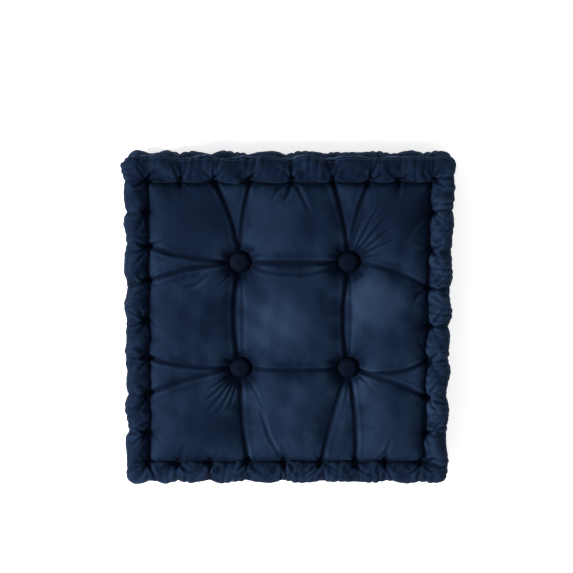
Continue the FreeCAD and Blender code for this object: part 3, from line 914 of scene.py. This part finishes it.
def tube(points, radius, sides=8, closed=False):
    """A round tube along a line of points, as places and faces, with its ends closed."""
    points = np.asarray(points, float)
    count = len(points)
    if closed:
        way = np.roll(points, -1, 0) - np.roll(points, 1, 0)
    else:
        way = np.gradient(points, axis=0)
    way = unit(way)
    flat = unit(np.cross(way, [0.02, 0.03, 1.0]))
    up = np.cross(way, flat)
    turn = np.arange(sides) / sides * 2 * math.pi
    radius = np.broadcast_to(radius, (count,))[:, None, None]
    rings = points[:, None] + radius * (flat[:, None] * np.cos(turn)[:, None] + up[:, None] * np.sin(turn)[:, None])
    number = np.arange(count * sides).reshape(count, sides)
    after = np.roll(number, -1, 0) if closed else number[1:]
    before = number if closed else number[:-1]
    faces = np.stack([before, np.roll(before, -1, 1), np.roll(after, -1, 1), after], -1).reshape(-1, 4).tolist()
    if not closed:
        faces += [number[0][::-1].tolist(), number[-1].tolist()]
    return rings.reshape(-1, 3), faces


def joined(parts):
    """Several (places, faces) meshes as one."""
    places, faces, start = [], [], 0
    for part_places, part_faces in parts:
        places.append(part_places)
        faces += [[i + start for i in face] for face in part_faces]
        start += len(part_places)
    return np.vstack(places), faces


def stitched_thread(places, ring, u, v, side):
    """The thread of one side's mattress stitching, lying in the pinched groove of the cover."""
    outward = {"right": u, "left": -u, "back": v, "front": -v}[side]
    line = places[(np.abs(ring - PANEL_RINGS) < 0.01) & (outward > 0.999)]
    runs_along_y = side in ("right", "left")
    line = line[np.argsort(line[:, 1 if runs_along_y else 0])]
    line = resample(line[3:-3], 260)
    line[:, 2] -= 0.1 * MM
    twist = np.arange(len(line))[:, None] * 0.9
    across = np.array([1, 0, 0] if runs_along_y else [0, 1, 0])
    offset = np.cos(twist) * 0.3 * MM * across + np.sin(twist) * 0.3 * MM * np.array([0, 0, 1])
    return joined([tube(line + way * offset, 0.34 * MM, 6) for way in (1, -1)])


def twine_loop(node):
    """A loop of two-ply twine through the eyes of two buttons, in the place of its CAD node."""
    low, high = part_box(node)
    long, short = high.x - low.x, high.y - low.y
    across = np.array([1.0, 0, 0] if long > short else [0, 1.0, 0])
    long, short = max(long, short), min(long, short)
    radius = short / 2
    bend = long / 2 - radius
    top, bottom = high.z - radius - bend, low.z + radius + bend
    angles = np.linspace(0, math.pi, 13)
    upper_bend = [(bend * math.cos(a), top + bend * math.sin(a)) for a in angles]
    lower_bend = [(-bend * math.cos(a), bottom - bend * math.sin(a)) for a in angles]
    loop = resample([*upper_bend, *lower_bend, upper_bend[0]], 240)[:-1]
    cx, cy, _ = middle_of(node)
    centre = np.array([cx, cy, 0]) + loop[:, :1] * across + loop[:, 1:] * np.array([0, 0, 1.0])
    twist = (np.arange(len(centre)) / len(centre) * 2 * math.pi * 22)[:, None]
    side = np.cross(across, [0, 0, 1.0])
    plies = []
    for way in (0, math.pi):
        offset = 0.42 * radius * (np.cos(twist + way) * side + np.sin(twist + way) * across)
        plies.append(tube(centre + offset, 0.55 * radius, 6, closed=True))
    return joined(plies)


def button_cover(node, seed):
    """A dome button's velvet cap, gathered under its rim in small tucks: outside and inside, as a closed shell."""
    low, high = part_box(node)
    radius, rise = (high.x - low.x) / 2, high.z - low.z
    skirt, cloth, tuck, rim = 3.5 * MM, 1.0 * MM, 10.5 * MM, 0.8 * MM

    def dome(radius, rise):
        arc = np.linspace(0, math.pi / 2, 26)
        return [(radius * math.cos(a) ** 0.9, skirt + (rise - skirt) * math.sin(a)) for a in arc]

    rolled = [(radius - rim * (1 - math.cos(a)), rim * (1 - math.sin(a))) for a in np.linspace(math.pi / 2, 0, 7)]
    outside = resample([(tuck, 0), *rolled, *dome(radius, rise)], 54)
    inner, roof = radius - cloth, rise - cloth
    inside = resample([(tuck, cloth), (inner, cloth), *dome(inner, roof)], 20)
    sides = 144
    turn = np.arange(sides) / sides * 2 * math.pi
    rng = np.random.default_rng(seed)

    def wave(*parts):
        return sum(np.cos(turn * n + rng.uniform(0, 6.28)) * a for n, a in parts)

    def circle(r, z):
        return np.column_stack([r * np.cos(turn), r * np.sin(turn), np.full(sides, z)])

    tucks = wave((17, 0.5), (23, 0.35), (31, 0.25), (11, 0.3))
    soft = wave((2, 0.5), (3, 0.35), (5, 0.25))
    rings = []
    for r, z in outside[-2::-1]:
        under = bell(z / (2.6 * MM))
        over = math.sin(math.pi * min(1.0, z / rise)) * (r / radius)
        rings.append(circle(r + (0.22 * tucks * under + 0.18 * soft * over) * MM, z))
    rings += [circle(r, z) for r, z in inside[:-1]]
    # the outside's rings come down from the top, the inside's go up again, and each ends in a pole
    dimple = 0.25 * MM
    places = np.vstack([*rings, [[0, 0, rise - dimple], [0, 0, roof]]])
    number = np.arange(len(rings) * sides).reshape(-1, sides)
    a, b = number[:-1], number[1:]
    faces = np.stack([b, np.roll(b, -1, 1), np.roll(a, -1, 1), a], -1).reshape(-1, 4).tolist()
    first, last, pole = number[0].tolist(), number[-1].tolist(), len(places) - 2
    faces += [(a, b, pole) for a, b in zip(first, first[1:] + first[:1])]
    faces += [(b, a, pole + 1) for a, b in zip(last, last[1:] + last[:1])]
    on_outside = np.arange(len(places)) < (len(outside) - 1) * sides
    places[:, 2] -= dimple * bell(np.hypot(places[:, 0], places[:, 1]) / (4 * MM)) * on_outside
    if "_bottom_" in node:
        places = places * [1, -1, -1] + [0, 0, rise]
    cx, cy, _ = middle_of(node)
    return places + [cx, cy, low.z], faces


def fibre_piece(name, node, voxel, shrink, material, body, limit):
    """A filling piece made from its CAD solid: remeshed, drawn in a little, made lumpy, and kept to its limit."""
    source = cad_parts[node]
    made = linked(name, source.data.copy())
    made.matrix_world = source.matrix_world
    remesh = made.modifiers.new("remesh", "REMESH")
    remesh.mode, remesh.voxel_size = "VOXEL", voxel
    finer = bpy.data.meshes.new_from_object(evaluated(made))
    matrix = np.array(made.matrix_world)
    bpy.data.objects.remove(made)
    places = fetched(finer.vertices, "co", 3) @ matrix[:3, :3].T + matrix[:3, 3]
    normals = fetched(finer.vertex_normals, "vector", 3)
    x, y, z = places.T
    lumps = wander(x + 0.3 * z, 23 * MM, 11) * wander(y - 0.5 * z, 19 * MM, 12) + 0.5 * wander(x - y + z, 9 * MM, 13)
    places = limit(places - normals * (shrink * (1 + 0.3 * np.clip(lumps, -1.5, 1.5)))[:, None])
    finer.vertices.foreach_set("co", places.ravel())
    finer.update()
    finer.name = name
    made = finished(linked(name, finer), material, body, node)
    return made


def lining_under(coarse, coarse_faces, coarse_ring, smooth, fine, fine_faces):
    """The cover's inner side, on the coarse grid: a gap below the deepest folds near each of its vertices."""
    raised = np.einsum("ij,ij->i", fine - smooth, normals_of(smooth, fine_faces))
    a, b = edges_of(fine_faces).T
    for _ in range(3):
        lowest = raised.copy()
        np.minimum.at(lowest, a, raised[b])
        np.minimum.at(lowest, b, raised[a])
        raised = lowest
    pressed = np.minimum(raised[: len(coarse)], 0)
    inner = coarse + normals_of(coarse, coarse_faces) * (pressed - LINING_GAP)[:, None]
    # at mid height both halves' linings have to meet
    middle = (coarse_ring == LAST_RING)[:, None]
    return np.where(middle, coarse * [1 - LINING_GAP / WAIST_X, 1 - LINING_GAP / WAIST_X, 1], inner)


# ---- making it all
coarse_faces, coarse_ring, coarse_u, coarse_v = grid()
coarse = simulated(coarse_ring, coarse_u, coarse_v, coarse_faces)
smooth, fine_faces, ring, u, v = refine(coarse, coarse_faces, coarse_ring, coarse_u, coarse_v)
fine = add_folds(smooth, fine_faces, ring, u, v)
lining = lining_under(coarse, coarse_faces, coarse_ring, smooth, fine, fine_faces)
shapes = halves(fine)

# both skins of the cover: places for each level, faces, rings, directions and painted shading
OUTSIDE = (shapes, fine_faces, ring, u, v, painted_shading_of(fine, fine_faces, ring))
LINING = (halves(lining), coarse_faces, coarse_ring, coarse_u, coarse_v, np.zeros(len(coarse)))

for level, body in BODIES.items():
    panel = lined_piece(f"cover_{level}_panel", [(level, None)], body, f"{level}_panel")
for side in SIDES:
    parts = [("top", side), ("bottom", TURNED_SIDE[side])]
    boxing = lined_piece(f"cover_boxing_{side}", parts, "base", f"boxing_{side}")
    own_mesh(boxing)

TREES = {level: BVHTree.FromPolygons(shapes[level].tolist(), fine_faces.tolist()) for level in shapes}


def inside_cover(places, level, gap):
    """Moves what lies outside the half cover, or within the gap under it, to that gap inside it."""
    for place in places:
        spot, normal, _, _ = TREES[level].find_nearest(Vector(place))
        if (Vector(place) - spot).dot(normal) > -gap:
            place[:] = spot - normal * gap
    return places


def under_panel(places, level):
    """Keeps a batt inside the cover's panel, by rays straight at it, beside each vertex too."""
    way = -1 if level == "top" else 1
    start, gap, beside = MIDDLE_Z - way * HEIGHT, 3.4 * MM, 3 * MM
    for place in places:
        for dx, dy in ((0, 0), (beside, 0), (-beside, 0), (0, beside), (0, -beside)):
            hit = TREES[level].ray_cast(Vector((place[0] + dx, place[1] + dy, start)), Vector((0, 0, way)))[0]
            if hit is not None and way * (hit.z + way * gap - place[2]) > 0:
                place[2] = hit.z + way * gap
    return places


def corners_off(places, reach, radius):
    """Draws the filling's corners in, to a radius round the point where both x and y are the reach."""
    past = np.clip(np.abs(places[:, :2]) - reach, 0, None)
    length = np.hypot(*past.T)
    pulled = past * np.minimum(1, radius / np.maximum(length, 1e-9))[:, None]
    return np.column_stack([places[:, :2] - np.sign(places[:, :2]) * (past - pulled), places[:, 2]])


def in_roll(level):
    """Fits stuffing into the leaning roll: round at the corners, clear of the boxing that crumples up under it."""
    def limited(places):
        places = corners_off(places, HALF_SIDE - 26 * MM, 19 * MM)
        if level == "top":
            places[:, 2] = np.maximum(places[:, 2], ROLL_Z - 5.5 * MM)
        return inside_cover(lean(places), level, 3.8 * MM)

    return limited


for level, body in BODIES.items():
    for side in SIDES:
        from_side = side if level == "top" else TURNED_SIDE[side]
        thread = new_object(f"thread_{level}_{side}", *stitched_thread(shapes[level], ring, u, v, from_side))
        finished(thread, stitch_thread, body, f"edge_stitching_{level}_{side}")
        stuffing = fibre_piece(
            f"stuffing_{level}_{side}", f"edge_stuffing_{level}_{side}", 2.5 * MM, 4.5 * MM,
            roll_fibre, body, in_roll(level),
        )
        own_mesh(stuffing)

for number, corner in enumerate(CORNERS):
    for level in BODIES:
        node = f"button_cover_{level}_{corner}"
        cap = new_object(f"button_{level}_{corner}_velvet", *button_cover(node, 100 + number))
        off_middle = fetched(cap.data.vertices, "co", 3) - middle_of(node)
        out = np.hypot(off_middle[:, 0], off_middle[:, 1]) / BUTTON_RADIUS
        # painted shade on the button, darkest at its rim where it sinks into the pit and dark in the middle dimple,
        # with a painted highlight ring between
        painted_shading_value = np.interp(out, [0, 0.15, 0.5, 0.75, 0.95, 1.1], [-0.6, -0.2, 0.25, 0, -1.0, -1.4])
        set_values(cap.data, "painted_shading", painted_shading_value)
        finished(cap, shaded_button_velvet, f"button_{level}_{corner}", node)
        for kind, material in (("shell", aluminium), ("back", steel)):
            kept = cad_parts[f"button_{kind}_{level}_{corner}"]
            kept.data.materials.clear()
            kept.data.materials.append(material)
    node = f"tuft_twine_{corner}"
    low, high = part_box(node)
    twine = finished(new_object(f"twine_{corner}", *twine_loop(node)), tuft_twine, "base", node)
    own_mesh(twine)

for level, body, half in (("upper", "seat", "top"), ("middle", "base", None), ("lower", "base", "bottom")):
    node = f"filling_batt_{level}"
    low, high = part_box(node)

    def limit(places, half=half, reach=high.x - 34 * MM):
        places = corners_off(places, reach, 30 * MM)
        return under_panel(places, half) if half else places

    batt = fibre_piece(f"batt_{level}", node, 4 * MM, 0.8 * MM, batt_fibre, body, limit)
    if level == "middle":
        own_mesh(batt)

# ---- stage, light, camera
TILT = math.radians(11)
DISTANCE = 2.07
aim = Vector((-1.8 * MM, 44 * MM, 64 * MM))
camera_data = bpy.data.cameras.new("camera")
camera_data.lens = 106.2
camera_data.sensor_width = 36
camera = linked("camera", camera_data)
camera.location = aim + DISTANCE * Vector((0, math.sin(TILT), math.cos(TILT)))
camera.rotation_euler = (-TILT, 0, 0)
scene.camera = camera

EDGE = 6
floor_places = np.array([(-EDGE, -EDGE, 0), (EDGE, -EDGE, 0), (EDGE, EDGE, 0), (-EDGE, EDGE, 0)], float)
floor = new_object("floor", floor_places, [(0, 1, 2, 3)])
white = Material("floor_white")
white.fill(white.shader, {
    "Base Color": (0.9, 0.9, 0.9, 1),
    "Roughness": 0.9,
    "Specular IOR Level": 0.1,
    "Emission Color": (1, 1, 1, 1),
    "Emission Strength": 0.5,
})
floor.data.materials.append(white.made)

light = bpy.data.lights.new("key", "AREA")
light.shape, light.size, light.energy = "SQUARE", 0.7, 95
lamp = linked("key", light)
lamp.location = (-1.9, -0.35, 1.35)
lamp.rotation_euler = (-lamp.location).to_track_quat("-Z", "Y").to_euler()
world = bpy.data.worlds.new("world")
world.use_nodes = True
background = world.node_tree.nodes["Background"]
background.inputs["Color"].default_value = (1, 1, 1, 1)
background.inputs["Strength"].default_value = 0.75
scene.world = world
scene.view_settings.view_transform = "Standard"
